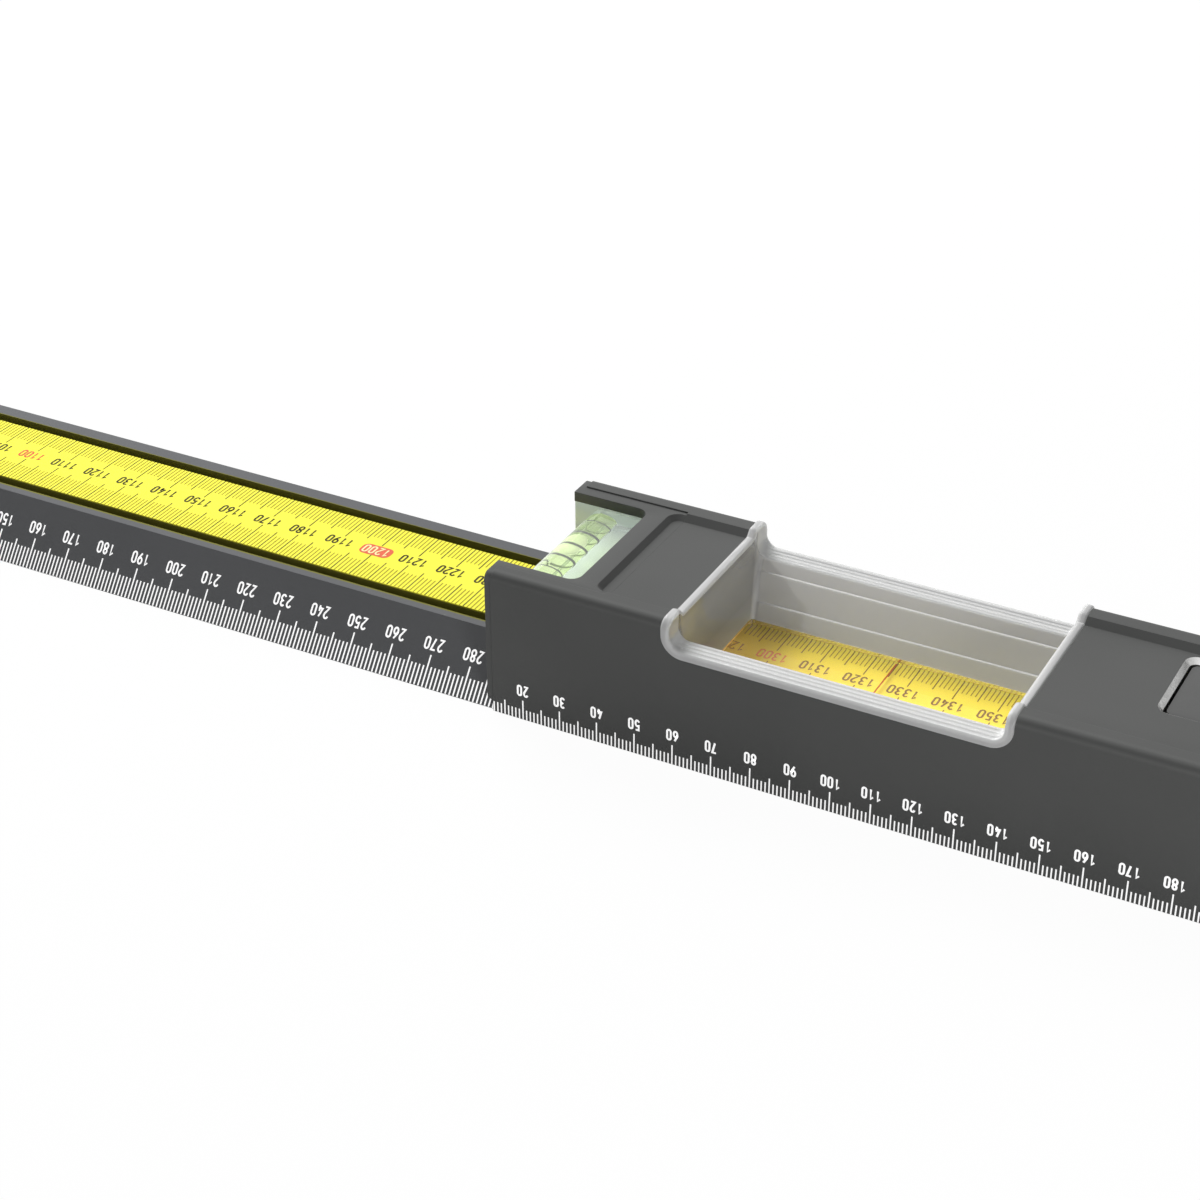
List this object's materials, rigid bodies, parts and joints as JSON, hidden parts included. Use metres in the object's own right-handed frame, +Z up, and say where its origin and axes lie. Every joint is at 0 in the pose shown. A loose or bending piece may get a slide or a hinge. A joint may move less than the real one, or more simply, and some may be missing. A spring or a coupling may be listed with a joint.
{
  "type": "telescopic door frame level",
  "caption": "Telescopic door frame level: outer profile with vials, clear reading window and brake, and a bevelled inner rail with a measuring tape that slides out at one end.",
  "frame": {"origin": "middle of the base of the whole object, with the rail standing out as in the picture", "axes": "+X along the level towards the end away from the rail's tip, +Y from the scale face to the back, +Z up from the base"},
  "size_m": [1.3604, 0.054, 0.0391],
  "materials": {
    "profile": "anthracite powder coat",
    "rail_metal": "anthracite powder coat",
    "black_plastic": "fine grain",
    "grey_plastic": "fine grain",
    "white_plastic": "smooth",
    "clear": "clear",
    "liquid": "yellow-green vial liquid",
    "ring_print": "printed",
    "red_line": "painted",
    "steel": "zinc plated",
    "pad_rubber": "matt",
    "tape": "satin, printed"
  },
  "bodies": {
    "body": {"body_profile": "profile", "vial_housing": "black_plastic", "vial_backing": "white_plastic", "cross_vial_block": "clear", "cross_vial_liquid": "liquid", "cross_vial_rings": "ring_print", "window_tray": "clear", "reading_line": "red_line", "glide_strips": "black_plastic", "main_vial_cradle": "white_plastic", "main_vial_block": "clear", "main_vial_liquid": "liquid", "main_vial_rings": "ring_print", "brake_bearing": "black_plastic", "brake_pin": "steel", "brake_spring": "steel", "end_cap": "black_plastic", "housing_screws": "steel", "end_cap_screws": "steel"},
    "rail": {"rail_profile": "rail_metal", "measuring_tape": "tape", "rail_tip": "black_plastic", "rail_guide": "black_plastic"},
    "lever": {"brake_lever": "grey_plastic", "brake_pad": "pad_rubber"}
  },
  "joints": [
    {"name": "rail_slide", "type": "slide", "parent": "body", "child": "rail", "axis": [1, 0, 0], "range_m": [-0.53, 0.3104]},
    {"name": "brake_lever_tilt", "type": "hinge", "parent": "body", "child": "lever", "pos_m": [-0.1818, 0, 0.0301], "axis": [0, 1, 0], "range_deg": [0, 4], "stiffness_Nm_per_rad": 1.2, "springref_deg": -8.59, "deforming": ["brake_spring"]}
  ]
}
